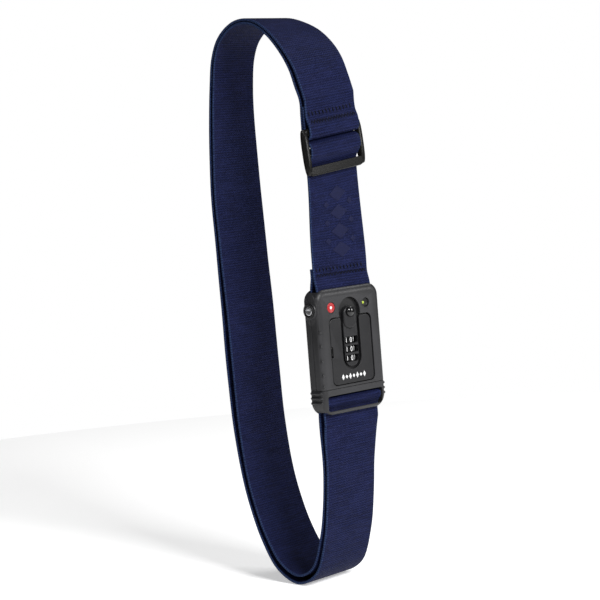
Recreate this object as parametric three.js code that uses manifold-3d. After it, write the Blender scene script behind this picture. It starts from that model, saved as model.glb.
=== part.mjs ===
// A luggage strap: a loop of 50 mm webbing, doubled nearly all the way round, closed by a
// three-dial combination lock buckle and shortened by a tri-glide adjuster.
//
// Millimetres. +X is across the webbing, to the right seen from the front, the lock's face looks
// towards -Y, and +Z is up. The origin is the middle of the inside of the top bend, where the strap
// hangs when it is stored on a peg.
import * as THREE from 'three';
import { mergeVertices } from 'three/addons/utils/BufferGeometryUtils.js';
import Module from 'manifold-3d';

const wasm = await Module();
wasm.setup();

// ---------------------------------------------------------------- driving dimensions
const GAP = 0.35; // clearance between pieces that touch on the real strap
const WEB = { width: 50, thick: 1.9 };
const PITCH = WEB.thick + GAP; // centre to centre of two webbing layers that lie together

// The loop is twisted a little against the lock. Its turn, in degrees about the vertical, is 0 at the
// lock and changes between these heights and depths.
const TURN = { adjuster: 5.4, low: 6.8, back: 8.5, backTop: 17 };
const TURN_ABOVE = { from: -163, to: -104 }; // from the lock up to the adjuster
const TURN_BELOW = { from: -310, to: -268 }; // from the bottom bend up to the lock
const TURN_BACK = { from: -130, to: -30 }; // up the back run
const TURN_ACROSS = { from: -42, to: 25 }; // from the front run to the back run
// Where it passes the adjuster it also slopes: z grows by SKEW for each millimetre of x.
const SKEW = 0.094;
const SKEW_ACROSS = { from: -44, to: -5 };

// Inner layer's middle line from above the adjuster, over the top, down the back and round the
// bottom to below the lock: depth y, height z, and the distance out to the outer layer's middle.
const LOOP = [
  [-48.7, -52, 4.5], [-45.2, -42.5, 4.6], [-40.6, -30.5, 4.2], [-32.7, -19.2, 3.4],
  [-19, -7.2, 2.7], [0, 0.95, 2.3], [18.4, 0.4, 2.3], [33, -8.2, 2.5], [40.5, -20.7, 2.7],
  [44.6, -40.5, 3], [47, -69, 3.3], [48.2, -111, 3.6], [46.9, -158, 4.2], [44.9, -203, 5.4],
  [43.7, -243, 6], [42, -280, 5.6], [38.3, -309.7, 5], [32.1, -333.1, 4.8], [22.7, -354.7, 5],
  [9.2, -372.4, 5.5], [-8, -379.4, 5.4], [-24.1, -372.8, 4.8], [-34.7, -351.2, 4], [-40.6, -326.5, 3.5],
  [-43.9, -299, 3.6], [-45.4, -280, 4.4],
];
const SPAN_TOP = -14; // the stretches that give when the adjuster slides end here
const SPAN_LOW = -345; // and those that give when the plug is pulled end here
const SEWN_TOP = -52;
const BUMP = { low: -104, high: -72 }; // heights where the webbing enters and leaves the adjuster
const TAB_JOIN = -163.5;
const PLUG_JOIN = -262.5;

const ADJUSTER = {
  top: -71, height: 31, thick: 3, rail: 3.4, play: 1.6, barTop: 4.5, barMid: 4, barLow: 4.5,
};
const TAB_Y = -51; // middle of the single layer between lock and adjuster
const BAR_Y = TAB_Y - (WEB.thick / 2 + GAP + ADJUSTER.thick / 2);
const OVER_Y = BAR_Y - (ADJUSTER.thick / 2 + GAP + WEB.thick / 2);
const INNER_Y = TAB_Y + PITCH;
const SEWN_Y = TAB_Y - PITCH;

const LOCK = { width: 58, top: -181, seam: -248.5, bottom: -266, y: -50, thick: 14.6, wall: 2 };
const FACE = LOCK.y - LOCK.thick / 2;
const REAR = LOCK.y + LOCK.thick / 2;
const CAVITY = { front: FACE + LOCK.wall, rear: REAR - LOCK.wall, side: LOCK.width / 2 - LOCK.wall };
const TOP_PIN = { z: -186.5, r: 2 };
const LOW_PIN = { z: -257.8, r: 2.2 }; // the pin in the plug that the loop hangs on
const PANEL = { width: 38, top: -201.3, bottom: -246.3, radius: 4, sink: 0.3, thick: 2 };
const TRACK = { width: 17, bottom: -237, island: 12.8, islandTop: -210.3 };
const RECESS = { z: -197.9, r: 9.9 };
const KNOB = { width: 12.1, top: -194.1, bottom: -209.2, dome: 3.4, rise: 1.8, domeZ: -197.9 };
const DIAL = { r: 5.6, width: 4, pitch: 6.2, middle: -223.4, bore: 3.2, below: 0.35 };
const DIAL_Y = FACE + PANEL.sink + DIAL.below + DIAL.r;
const WINDOW = { width: 12, height: 4.8 };
const WINDOW_RADIUS = 0.8;
const BADGE = { x: -16.6, z: -193.6, r: 3.4 };
const INDICATOR = { x: 15.6, z: -193.4, r: 2.85, holeX: 14.3 };
const RESET = { x: -18.3, top: -220.6, bottom: -225.8, width: 1.5 };
const KEY = { z: -194.5, r: 3.1, bezel: 4.9, inner: -21.2 };
const BOSS = { out: LOCK.width / 2 + 1, r: KEY.bezel + 0.9 }; // the round swelling the key sits in
const PRONG = { inner: 11, outer: 20.5, tip: -214.5, thick: 2.4 };
const SCREWS = [[-24.2, -202.5], [24.2, -202.5], [-24.2, -241], [24.2, -241]];
const SCREW = { head: 2, shank: 0.85, post: 2.3 };
const WEB_SLOT = { width: 51.4, depth: 9.4 };

// ---------------------------------------------------------------- materials
function paint(color, roughness, metalness = 0) {
  return new THREE.MeshStandardMaterial({ color, roughness, metalness });
}


const NAVY = paint(0x12174a, 0.85);
const HOUSING = paint(0x1d1e20, 0.6);
const SATIN = paint(0x17181a, 0.35);
const GLOSS = paint(0x0c0c0d, 0.15);
const BLACK = paint(0x0a0a0b, 0.5);
const STEEL = paint(0x9a9da1, 0.3, 1);
const BRASS = paint(0xa98b4a, 0.4, 1);
const RED = paint(0xb3161c, 0.5);
const GREEN = paint(0x7aa51c, 0.4);

// ---------------------------------------------------------------- helpers
const group = new THREE.Group();

function add(name, geometry, material) {
  const mesh = new THREE.Mesh(geometry, material);
  mesh.name = name;
  group.add(mesh);
  return mesh;
}

function toSolid(geometry) {
  const bare = geometry.clone();
  bare.deleteAttribute('normal');
  bare.deleteAttribute('uv');
  const merged = mergeVertices(bare, 1e-4);
  const vertProperties = new Float32Array(merged.attributes.position.array);
  const triVerts = new Uint32Array(merged.index.array);
  return new wasm.Manifold(new wasm.Mesh({ numProp: 3, vertProperties, triVerts }));
}

function toGeometry(solid) {
  const { vertProperties, triVerts } = solid.getMesh();
  const geometry = new THREE.BufferGeometry();
  geometry.setAttribute('position', new THREE.BufferAttribute(new Float32Array(vertProperties), 3));
  geometry.setIndex(new THREE.BufferAttribute(new Uint32Array(triVerts), 1));
  geometry.computeVertexNormals();
  return geometry;
}

const join = (...parts) => toGeometry(parts.map(toSolid).reduce((a, b) => a.add(b)));
const keep = (body, tool) => toGeometry(toSolid(body).intersect(toSolid(tool)));

function cut(body, ...tools) {
  return toGeometry(tools.map(toSolid).reduce((a, b) => a.subtract(b), toSolid(body)));
}

// A box given by its two corners on each axis.
function block(x0, x1, y0, y1, z0, z1) {
  const geometry = new THREE.BoxGeometry(x1 - x0, y1 - y0, z1 - z0);
  return geometry.translate((x0 + x1) / 2, (y0 + y1) / 2, (z0 + z1) / 2);
}

function roundedRect(width, top, bottom, radius, radiusLow = radius) {
  const w = width / 2;
  const shape = new THREE.Shape();
  shape.moveTo(-w + radiusLow, bottom);
  shape.lineTo(w - radiusLow, bottom);
  shape.absarc(w - radiusLow, bottom + radiusLow, radiusLow, -Math.PI / 2, 0);
  shape.absarc(w - radius, top - radius, radius, 0, Math.PI / 2);
  shape.absarc(-w + radius, top - radius, radius, Math.PI / 2, Math.PI);
  shape.absarc(-w + radiusLow, bottom + radiusLow, radiusLow, Math.PI, Math.PI * 1.5);
  return shape;
}

// An outline drawn in x and z, pushed back along +Y from y0 to y1, with both edges rounded.
function plate(shape, y0, y1, edge = 0, rounds = 3) {
  const geometry = new THREE.ExtrudeGeometry(shape, {
    depth: y1 - y0 - 2 * edge,
    bevelEnabled: edge > 0,
    bevelThickness: edge,
    bevelSize: edge,
    bevelOffset: -edge,
    bevelSegments: rounds,
    curveSegments: 6,
  });
  return geometry.rotateX(Math.PI / 2).translate(0, y1 - edge, 0);
}

const rectPlate = (width, top, bottom, radius, y0, y1, edge) =>
  plate(roundedRect(width, top, bottom, radius), y0, y1, edge);

// Round bars along one axis, from a first to a last place on it.
function rodX(r, x0, x1, y, z, sides = 20) {
  const bar = new THREE.CylinderGeometry(r, r, x1 - x0, sides);
  return bar.rotateZ(Math.PI / 2).translate((x0 + x1) / 2, y, z);
}

function rodY(r, y0, y1, x, z, sides = 20) {
  return new THREE.CylinderGeometry(r, r, y1 - y0, sides).translate(x, (y0 + y1) / 2, z);
}

function rodZ(r, z0, z1, x, y, sides = 20) {
  const bar = new THREE.CylinderGeometry(r, r, z1 - z0, sides);
  return bar.rotateX(Math.PI / 2).translate(x, y, (z0 + z1) / 2);
}

const between = (value, { from, to }) => THREE.MathUtils.smoothstep(value, from, to);

// How much y grows for each millimetre of x.
function lean(y, z) {
  const front = TURN.adjuster * between(z, TURN_ABOVE) + TURN.low * (1 - between(z, TURN_BELOW));
  const back = THREE.MathUtils.lerp(TURN.back, TURN.backTop, between(z, TURN_BACK));
  return Math.tan(THREE.MathUtils.degToRad(THREE.MathUtils.lerp(front, back, between(y, TURN_ACROSS))));
}

// How much z grows for each millimetre of x.
function skew(y, z) {
  return SKEW * between(z, TURN_ABOVE) * (1 - between(y, SKEW_ACROSS));
}

// Webbing laid along a path of [y, z] points: a flat bar bent to the path, then leaned and skewed.
function webbing(path) {
  const length = path.length - 1;
  const bar = new THREE.BoxGeometry(WEB.width, length, WEB.thick, 1, length, 1);
  const place = bar.attributes.position;
  for (let i = 0; i < place.count; i += 1) {
    const x = place.getX(i);
    const at = Math.round(place.getY(i) + length / 2);
    const before = path[Math.max(at - 1, 0)];
    const after = path[Math.min(at + 1, length)];
    const along = new THREE.Vector2(after[0] - before[0], after[1] - before[1]).normalize();
    const y = path[at][0] - along.y * place.getZ(i);
    const z = path[at][1] + along.x * place.getZ(i);
    place.setXYZ(i, x, y + x * lean(...path[at]), z + x * skew(...path[at]));
  }
  return bar;
}

// ---------------------------------------------------------------- the loop of webbing
function toCurve(points) {
  return new THREE.CatmullRomCurve3(points.map(([y, z]) => new THREE.Vector3(0, y, z)));
}

// The same points moved out of the loop by each one's own gap.
function moveOut(points) {
  return points.map(([y, z, gap], i) => {
    const before = points[Math.max(i - 1, 0)];
    const after = points[Math.min(i + 1, points.length - 1)];
    const along = new THREE.Vector2(after[0] - before[0], after[1] - before[1]).normalize();
    return [y - along.y * gap, z + along.x * gap];
  });
}

// Distance along a curve, as a fraction, where it first passes a height, walking up from its
// start or, with fromEnd, back from its end.
function passing(curve, height, fromEnd = false) {
  const walk = 2000;
  const at = (i) => (fromEnd ? 1 - i / walk : i / walk);
  const side = Math.sign(curve.getPointAt(at(0)).z - height);
  let i = 0;
  while (Math.sign(curve.getPointAt(at(i)).z - height) === side) {
    i += 1;
  }
  return at(i);
}

// One stretch of a curve as [y, z] points, shortened by half the gap at each end.
function stretch(curve, from, to, steps) {
  const half = GAP / 2 / curve.getLength();
  return Array.from({ length: steps + 1 }, (_, i) => {
    const p = curve.getPointAt(from + half + ((to - from - 2 * half) * i) / steps);
    return [p.y, p.z];
  });
}

const smooth = (points, steps) => stretch(toCurve(points), 0, 1, steps);

const LEG = LOW_PIN.r + GAP + WEB.thick / 2; // middle of the webbing that wraps the plug's pin

function addLoop() {
  const inner = toCurve([
    [INNER_Y, BUMP.high], [INNER_Y, -62], ...LOOP.map(([y, z]) => [y, z]), [LOCK.y + LEG, PLUG_JOIN],
  ]);
  const outer = toCurve([[SEWN_Y, SEWN_TOP], ...moveOut(LOOP).slice(1), [LOCK.y - LEG, PLUG_JOIN]]);
  for (const [name, curve, steps] of [['inner', inner, 84], ['outer', outer, 88]]) {
    const high = passing(curve, SPAN_TOP);
    const low = passing(curve, SPAN_LOW, true);
    add(`${name}_span_top`, webbing(stretch(curve, 0, high, 10)), NAVY);
    add(`${name}_run`, webbing(stretch(curve, high, low, steps)), NAVY);
    add(`${name}_span_low`, webbing(stretch(curve, low, 1, 14)), NAVY);
  }
}

// Points [y, z] on an arc about a centre, angles in degrees from +Y towards +Z.
function arc(y, z, r, from, to, steps) {
  return Array.from({ length: steps + 1 }, (_, i) => {
    const angle = THREE.MathUtils.degToRad(from + ((to - from) * i) / steps);
    return [y + r * Math.cos(angle), z + r * Math.sin(angle)];
  });
}

function addPlugWrap() {
  const end = PLUG_JOIN + GAP / 2;
  const over = arc(LOCK.y, LOW_PIN.z, LEG, 0, 180, 14);
  add('plug_wrap', webbing([[LOCK.y + LEG, end], ...over, [LOCK.y - LEG, end]]), NAVY);
}

// The tab's lower end goes round the lock's pin and is sewn to itself above the housing.
function addTab() {
  const r = TOP_PIN.r + GAP + WEB.thick / 2;
  const front = smooth([[TAB_Y, TAB_JOIN], [TAB_Y, -173], [-52.4, -178.5], [LOCK.y - r, -184.5]], 10);
  const under = arc(LOCK.y, TOP_PIN.z, r, 180, 360, 14);
  const back = smooth([[LOCK.y + r, -184.5], [-47.7, -178.5], [INNER_Y, -173], [INNER_Y, -167]], 9);
  add('tab_fold', webbing([...front, ...under, ...back]), NAVY);
  add('tab_span', webbing(smooth([[TAB_Y, BUMP.low], [TAB_Y, TAB_JOIN]], 16)), NAVY);
}

// ---------------------------------------------------------------- the adjuster
function addAdjuster() {
  const { top, height, thick, rail, play, barTop, barMid, barLow } = ADJUSTER;
  const width = WEB.width + 2 * (play + rail);
  const slot = (height - barTop - barMid - barLow) / 2;
  const y0 = BAR_Y - thick / 2;
  const y1 = BAR_Y + thick / 2;
  const slots = [top - barTop, top - barTop - slot - barMid].map((from) =>
    rectPlate(width - 2 * rail, from, from - slot, 1, y0 - 1, y1 + 1));
  const frame = cut(rectPlate(width, top, top - height, 5, y0, y1, 1), ...slots);
  const middle = top - height / 2;
  const mesh = add('triglide', frame.translate(0, -BAR_Y, -middle), SATIN);
  mesh.position.set(0, BAR_Y, middle);
  mesh.rotation.set(0, -Math.atan(SKEW), THREE.MathUtils.degToRad(TURN.adjuster));

  const hump = smooth([
    [TAB_Y, BUMP.low], [TAB_Y, -100], [-51.5, -96], [-54.6, -91.8], [OVER_Y, -88.6], [OVER_Y, -84.9],
    [-55, -81.8], [-51, -79.7], [-49.1, -77.2], [INNER_Y, -74], [INNER_Y, BUMP.high],
  ], 30);
  add('adjuster_hump', webbing(hump), NAVY);

  const r = thick / 2 + GAP + WEB.thick / 2;
  const low = top - barTop + 0.6;
  const front = smooth([
    [SEWN_Y, SEWN_TOP], [SEWN_Y, -60], [-53.9, -64.5], [-55.9, -69.3], [OVER_Y, low + 0.5],
  ], 12);
  const under = arc(BAR_Y, low, r, 180, 360, 14);
  const back = smooth([[TAB_Y, low + 0.5], [TAB_Y, -56]], 6);
  add('sewn_end', webbing([...front, ...under, ...back]), NAVY);
}

// ---------------------------------------------------------------- the lock's housing
// Everything inside a box that reaches far past the lock.
const slab = (y0, y1, z0, z1) => block(-60, 60, y0, y1, z0, z1);

const keyBore = () => rodX(KEY.r + GAP, -40, 3 - CAVITY.side, LOCK.y, KEY.z);

function lockBody() {
  const shape = roundedRect(LOCK.width, LOCK.top, LOCK.bottom, 8, 9);
  const boss = rodX(BOSS.r, -BOSS.out, -CAVITY.side, LOCK.y, KEY.z, 28);
  return join(plate(shape, FACE, REAR, 3), boss);
}

// The space of the groove round the dials and of the round hollow that the knob sits in.
function trackTool() {
  const low = roundedRect(TRACK.width, RECESS.z, TRACK.bottom, 1, TRACK.width / 2);
  const hollow = rodY(RECESS.r, FACE - 2, CAVITY.front + 0.1, 0, RECESS.z, 36);
  return join(plate(low, FACE - 2, CAVITY.front + 0.1), hollow);
}

function addShells(body) {
  const split = GAP / 2;
  const top = LOCK.top + 1;
  const seam = LOCK.seam + split;
  const cavity = rectPlate(2 * CAVITY.side, LOCK.top - 2, LOCK.seam - 6, 5, CAVITY.front, CAVITY.rear);
  const webSlot = block(-WEB_SLOT.width / 2, WEB_SLOT.width / 2,
    LOCK.y - WEB_SLOT.depth / 2, LOCK.y + WEB_SLOT.depth / 2, LOCK.top - 4, top);
  const pinHole = rodX(TOP_PIN.r + GAP, -28.3, 28.3, LOCK.y, TOP_PIN.z);
  const hollow = [cavity, webSlot, pinHole, keyBore()];

  const rim = 0.4; // the panel's hole is this much larger all round
  const panelHole = rectPlate(PANEL.width + 2 * rim, PANEL.top + rim, PANEL.bottom - rim, PANEL.radius,
    FACE - 2, CAVITY.front + 0.5);
  const badge = rodY(BADGE.r + GAP, FACE - 1, FACE + 0.75, BADGE.x, BADGE.z, 28);
  const cup = rodY(INDICATOR.r + GAP, FACE - 1, CAVITY.front + 0.5, INDICATOR.x, INDICATOR.z, 24);
  const frontHalf = keep(body, slab(-90, LOCK.y - split, seam, top));
  const front = cut(frontHalf, ...hollow, panelHole, trackTool(), badge, cup);
  const posts = SCREWS.map(([x, z]) => rodY(SCREW.post, CAVITY.front - 1, CAVITY.rear - GAP, x, z, 16));
  const holes = SCREWS.map(([x, z]) => rodY(SCREW.shank + GAP, CAVITY.front + 0.6, 0, x, z, 12));
  add('front_shell', cut(join(front, ...posts), ...holes), HOUSING);

  const sinks = SCREWS.map(([x, z]) => rodY(SCREW.head + 0.4, REAR - 1.3, 0, x, z, 16));
  const clear = SCREWS.map(([x, z]) => rodY(SCREW.shank + 0.45, CAVITY.rear - 1, 0, x, z, 12));
  const rearHalf = keep(body, slab(LOCK.y + split, 0, seam, top));
  add('back_shell', cut(rearHalf, ...hollow, ...sinks, ...clear), HOUSING);

  SCREWS.forEach(([x, z], i) => {
    const head = rodY(SCREW.head, REAR - 1, REAR - 0.15, x, z, 16);
    const shank = rodY(SCREW.shank, -53.4, REAR - 0.5, x, z, 10);
    const across = block(x - 1.3, x + 1.3, REAR - 0.7, 0, z - 0.25, z + 0.25);
    const upright = block(x - 0.25, x + 0.25, REAR - 0.7, 0, z - 1.3, z + 1.3);
    add(`housing_screw_${i + 1}`, cut(join(head, shank), across, upright), STEEL);
  });
  add('top_pin', rodX(TOP_PIN.r, -28, 28, LOCK.y, TOP_PIN.z), STEEL);
}

function addFace() {
  const y0 = FACE + PANEL.sink;
  const panel = rectPlate(PANEL.width, PANEL.top, PANEL.bottom, PANEL.radius, y0, y0 + PANEL.thick - GAP);
  const notch = block(-25, RESET.x + 1, FACE - 1, LOCK.y, RESET.bottom - 1.8, RESET.top + 0.4);
  add('face_panel', cut(panel, trackTool(), notch), SATIN);

  // The bed closes the track from behind; its island stands up level with the panel.
  const bed0 = CAVITY.front + GAP;
  const bed1 = bed0 + 0.9;
  const bed = rectPlate(42.6, -188.2, -247.6, 3, bed0, bed1);
  const island = roundedRect(TRACK.island, TRACK.islandTop, TRACK.bottom + 2, 1, TRACK.island / 2 - 0.4);
  const windows = [-1, 0, 1].map((i) => {
    const middle = DIAL.middle + i * DIAL.pitch;
    const half = WINDOW.height / 2;
    return rectPlate(WINDOW.width, middle + half, middle - half, WINDOW_RADIUS, FACE - 1, bed1 + 1);
  });
  const stemSlot = rectPlate(6.4, -195, -207, 1, FACE, bed1 + 1);

  const flagSpace = block(10.4, 23, FACE, bed1 + 1, -196.6, -190.2);
  add('track_bed', cut(join(bed, plate(island, y0, bed1)), ...windows, stemSlot, flagSpace), BLACK);

  add('colour_badge', rodY(BADGE.r, FACE + 0.05, FACE + 0.4, BADGE.x, BADGE.z, 28), RED);
  const cup = rodY(INDICATOR.r, CAVITY.front - 1.2, CAVITY.front - 0.2, INDICATOR.x, INDICATOR.z, 24);
  add('indicator_cup', cut(cup, rodY(1, FACE, LOCK.y, INDICATOR.holeX, INDICATOR.z, 12)), BLACK);
  const flag = block(11, 19, CAVITY.front + 0.4, CAVITY.front + 0.9, INDICATOR.z - 2, INDICATOR.z + 2);
  add('indicator_flag', flag, GREEN);
  const lever = rectPlate(RESET.width, RESET.top, RESET.bottom, 0.5, y0, y0 + 1.4);
  add('reset_lever', lever.translate(RESET.x, 0, 0), GLOSS);
}

// ---------------------------------------------------------------- dials
function addDials() {
  const half = DIAL.width / 2;
  for (let i = 0; i < 3; i += 1) {
    const z = DIAL.middle + (1 - i) * DIAL.pitch;
    const rim = rodZ(DIAL.r, z - half, z + half, 0, DIAL_Y, 40);
    const bore = rodZ(DIAL.bore, z - 9, z + 9, 0, DIAL_Y, 20);
    const key = block(-0.8, 0.8, DIAL_Y, DIAL_Y + 4.3, z - 9, z + 9);
    add(`dial_${i + 1}`, cut(rim, bore, key), GLOSS);
    const tube = rodZ(2.8, z - 2.8, z + 2.8, 0, DIAL_Y, 20);
    const fin = block(-0.45, 0.45, DIAL_Y, DIAL_Y + 3.9, z - 1.8, z + 1.8);
    add(`dial_sleeve_${i + 1}`, cut(join(tube, fin), rodZ(1.75, z - 9, z + 9, 0, DIAL_Y, 16)), BRASS);
  }
  const first = DIAL.middle + DIAL.pitch + 3.15;
  const last = DIAL.middle - DIAL.pitch - 3.15;
  add('dial_axle', rodZ(1.4, last - 1.6, first + 1.6, 0, DIAL_Y, 16), STEEL);
  for (const [name, low] of [['axle_block_top', first], ['axle_block_low', last - 1.5]]) {
    const cheek = block(-5, 5, -53.7, -46, low, low + 1.5);
    add(name, cut(cheek, rodZ(1.4 + GAP, low - 1, low + 3, 0, DIAL_Y, 16)), SATIN);
  }
  add('detent_spring', block(6.1, 6.5, -53.4, -48.4, last - 1, first + 1), BRASS);
}

// ---------------------------------------------------------------- release slider and latch
// Everything here is inside the housing: the knob's carriage carries a wedge, which spreads the two
// pawls out of the notches in the plug's prongs as the knob is pushed up.
const CARRIAGE = { top: -199.5, bottom: -211, half: 7, front: -53.6, rear: -51.6 };
const WEDGE = { high: -201, narrow: 7.1, wide: 9.3, front: -51.3, rear: -48.7 };
const PAWL = { top: -206, foot: -209.5, out: 25.4, leg: 22.6, tooth: 20.9, end: -225 };

function outline(points) {
  return new THREE.Shape(points.map(([x, z]) => new THREE.Vector2(x, z)));
}

function addSlider() {
  const front = FACE - 0.6;
  const shape = roundedRect(KNOB.width, KNOB.top, KNOB.bottom, KNOB.width / 2 - 0.4);
  const stem = block(-2.4, 2.4, CAVITY.front - 1, CARRIAGE.front - GAP, -206.5, -201.5);
  add('slider_knob', join(plate(shape, front, CAVITY.front + 0.02, 0.8), stem), SATIN);
  const profile = [new THREE.Vector2(0, 0), new THREE.Vector2(KNOB.dome, 0)];
  for (let i = 1; i <= 6; i += 1) {
    const angle = (Math.PI / 2) * (i / 6);
    profile.push(new THREE.Vector2(KNOB.dome * Math.cos(angle), KNOB.rise * Math.sin(angle)));
  }
  const cap = new THREE.LatheGeometry(profile, 28).rotateX(Math.PI);
  add('slider_dome', cap.translate(0, front - GAP, KNOB.domeZ), GLOSS);

  const { top, bottom, half, rear } = CARRIAGE;
  const deck = block(-half, half, CARRIAGE.front, rear, bottom, top);
  const { narrow, wide, high } = WEDGE;
  const wedge = outline([[-wide, bottom], [wide, bottom], [narrow, high], [-narrow, high]]);
  add('slider_carriage', join(deck, plate(wedge, rear - 0.2, WEDGE.rear)), STEEL);
}

// Half width of the wedge at a height, plus the clearance to a pawl.
function wedgeSide(z) {
  const { narrow, wide, high } = WEDGE;
  return wide + ((narrow - wide) * (z - CARRIAGE.bottom)) / (high - CARRIAGE.bottom) + GAP;
}

function addPawls() {
  const { top, foot, out, leg, tooth, end } = PAWL;
  for (const [name, side] of [['latch_pawl_left', -1], ['latch_pawl_right', 1]]) {
    const points = [
      [wedgeSide(top), top], [wedgeSide(foot), foot], [leg, foot], [leg, -219.5],
      [tooth, -221], [tooth, -222.8], [23, end], [out, end], [out, top],
    ];
    const shape = outline(points.map(([x, z]) => [x * side, z]));
    add(name, plate(shape, WEDGE.front, WEDGE.rear), STEEL);
  }
}

class Helix extends THREE.Curve {
  constructor(x, y, low, high, r, turns) {
    super();
    Object.assign(this, { x, y, low, high, r, turns });
  }

  getPoint(t, target = new THREE.Vector3()) {
    const angle = t * this.turns * 2 * Math.PI;
    const z = this.low + (this.high - this.low) * t;
    return target.set(this.x + this.r * Math.cos(angle), this.y + this.r * Math.sin(angle), z);
  }
}

const SPRING = { x: 4.2, y: -52.6, top: -192.4, r: 1.1, wire: 0.22, turns: 3 };

function addSprings() {
  const wire = new THREE.Shape().absarc(0, 0, SPRING.wire, 0, Math.PI * 2);
  for (const [name, side] of [['return_spring_left', -1], ['return_spring_right', 1]]) {
    const { x, y, top, r, turns } = SPRING;
    const path = new Helix(x * side, y, CARRIAGE.top + 0.5, top, r, turns);
    const coil = new THREE.ExtrudeGeometry(wire, { steps: 36, extrudePath: path, curveSegments: 3 });
    add(name, coil, STEEL);
  }
}

// ---------------------------------------------------------------- master key lock
function addKey() {
  const end = -BOSS.out;
  const ring = cut(rodX(KEY.bezel, end - 1.1, end - GAP, LOCK.y, KEY.z, 32), keyBore());
  add('key_bezel', ring, BLACK);
  const plug = rodX(KEY.r, end - 0.8, KEY.inner, LOCK.y, KEY.z, 28);
  const slot = block(end - 5, end + 1, LOCK.y - 1.9, LOCK.y + 1.9, KEY.z - 0.35, KEY.z + 0.35);
  add('key_plug', cut(plug, slot), STEEL);
  const cam = { near: KEY.inner + 0.4, far: KEY.inner + 1.8 };
  const disc = rodX(2.4, cam.near, cam.far, LOCK.y, KEY.z, 20);
  const lobe = block(cam.near, cam.far, LOCK.y - 1, LOCK.y + 1, KEY.z - 3.4, KEY.z);
  add('key_cam', join(disc, lobe), BRASS);
}

// ---------------------------------------------------------------- the plug that pulls out
// The space in the plug that the webbing loops through, and the window in front of it.
const CHAMBER = { side: 25.7, deep: 4.9, top: -252.8, windowLow: -260.8 };
const RIB = { r: 0.9, half: 4.6, x: 28.9, top: -250.4, pitch: 3.4 };

function addPlug(body) {
  const seam = LOCK.seam - GAP / 2;
  const { side, deep, top, windowLow } = CHAMBER;
  const chamber = block(-side, side, LOCK.y - deep, LOCK.y + deep, LOCK.bottom - 5, top);
  const window = rectPlate(50.6, top, windowLow, 1.5, FACE - 2, LOCK.y);
  const pocket = block(-20.9, 20.9, LOCK.y - 1.6, LOCK.y + 1.6, -251.7, LOCK.seam + 1);
  const pinHole = rodX(LOW_PIN.r + GAP, -27.5, 27.5, LOCK.y, LOW_PIN.z);
  const ribs = [];
  for (let i = 0; i < 3; i += 1) {
    for (const x of [-RIB.x, RIB.x]) {
      ribs.push(rodY(RIB.r, LOCK.y - RIB.half, LOCK.y + RIB.half, x, RIB.top - RIB.pitch * i, 10));
    }
  }
  const shell = keep(body, slab(-90, 0, LOCK.bottom - 1, seam));
  add('plug_cap', cut(join(shell, ...ribs), chamber, window, pocket, pinHole), HOUSING);
  add('plug_pin', rodX(LOW_PIN.r, -27.2, 27.2, LOCK.y, LOW_PIN.z), STEEL);

  const { inner, outer, tip, thick } = PRONG;
  const web = { low: -251.3, high: -249.2 };
  const fork = outline([
    [-outer, web.low], [outer, web.low], [outer, tip - 2], [outer - 2, tip], [inner + 2, tip],
    [inner, tip - 2], [inner, web.high], [-inner, web.high], [-inner, tip - 2], [-inner - 2, tip],
    [-outer + 2, tip], [-outer, tip - 2],
  ]);
  const notches = [-outer, outer].map((x) => block(x - 2, x + 2, -60, -40, -223.6, -219.2));
  add('prong_plate', cut(plate(fork, LOCK.y - thick / 2, LOCK.y + thick / 2), ...notches), STEEL);
}

const body = lockBody();
addLoop();
addPlugWrap();
addTab();
addAdjuster();
addShells(body);
addFace();
addDials();
addSlider();
addPawls();
addSprings();
addKey();
addPlug(body);

export default group;
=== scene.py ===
"""Looks of the luggage strap: woven webbing, stitching, lock housing, dials and metalwork.

Shapes are worked out in millimetres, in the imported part's own frame, and become metres when a mesh
is made. +X is across the webbing, the lock's face looks towards -Y, and +Z is up.
"""
from math import atan, ceil, cos, pi, radians, sin

import bmesh
import bpy
import numpy as np
from mathutils import Matrix, Vector


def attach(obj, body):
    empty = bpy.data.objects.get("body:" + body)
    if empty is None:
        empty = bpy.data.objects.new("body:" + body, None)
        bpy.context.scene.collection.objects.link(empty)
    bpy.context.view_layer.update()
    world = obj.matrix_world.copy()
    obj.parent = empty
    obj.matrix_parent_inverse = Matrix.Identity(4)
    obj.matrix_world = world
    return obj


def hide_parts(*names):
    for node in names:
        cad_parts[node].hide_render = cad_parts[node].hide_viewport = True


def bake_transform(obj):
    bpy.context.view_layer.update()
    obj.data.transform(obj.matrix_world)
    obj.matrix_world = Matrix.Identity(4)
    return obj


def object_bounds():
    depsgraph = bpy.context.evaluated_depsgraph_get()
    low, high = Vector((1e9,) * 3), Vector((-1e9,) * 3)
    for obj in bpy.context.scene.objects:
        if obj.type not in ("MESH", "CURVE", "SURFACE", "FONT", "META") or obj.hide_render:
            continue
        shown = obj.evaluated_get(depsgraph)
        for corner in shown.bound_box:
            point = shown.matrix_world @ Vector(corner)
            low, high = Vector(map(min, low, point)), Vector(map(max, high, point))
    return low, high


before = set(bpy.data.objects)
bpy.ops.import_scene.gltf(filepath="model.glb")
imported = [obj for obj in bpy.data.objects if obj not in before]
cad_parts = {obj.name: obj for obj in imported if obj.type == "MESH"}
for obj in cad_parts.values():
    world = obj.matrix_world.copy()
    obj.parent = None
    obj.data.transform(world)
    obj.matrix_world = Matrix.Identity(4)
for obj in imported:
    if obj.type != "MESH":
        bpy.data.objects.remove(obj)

CAD_BOX = [list(corner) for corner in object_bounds()]
MM = 0.001

# ---------------- sizes shared with the CAD part
GAP = 0.35
WIDTH = 50.0
THICK = 1.9
PITCH = THICK + GAP
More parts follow.
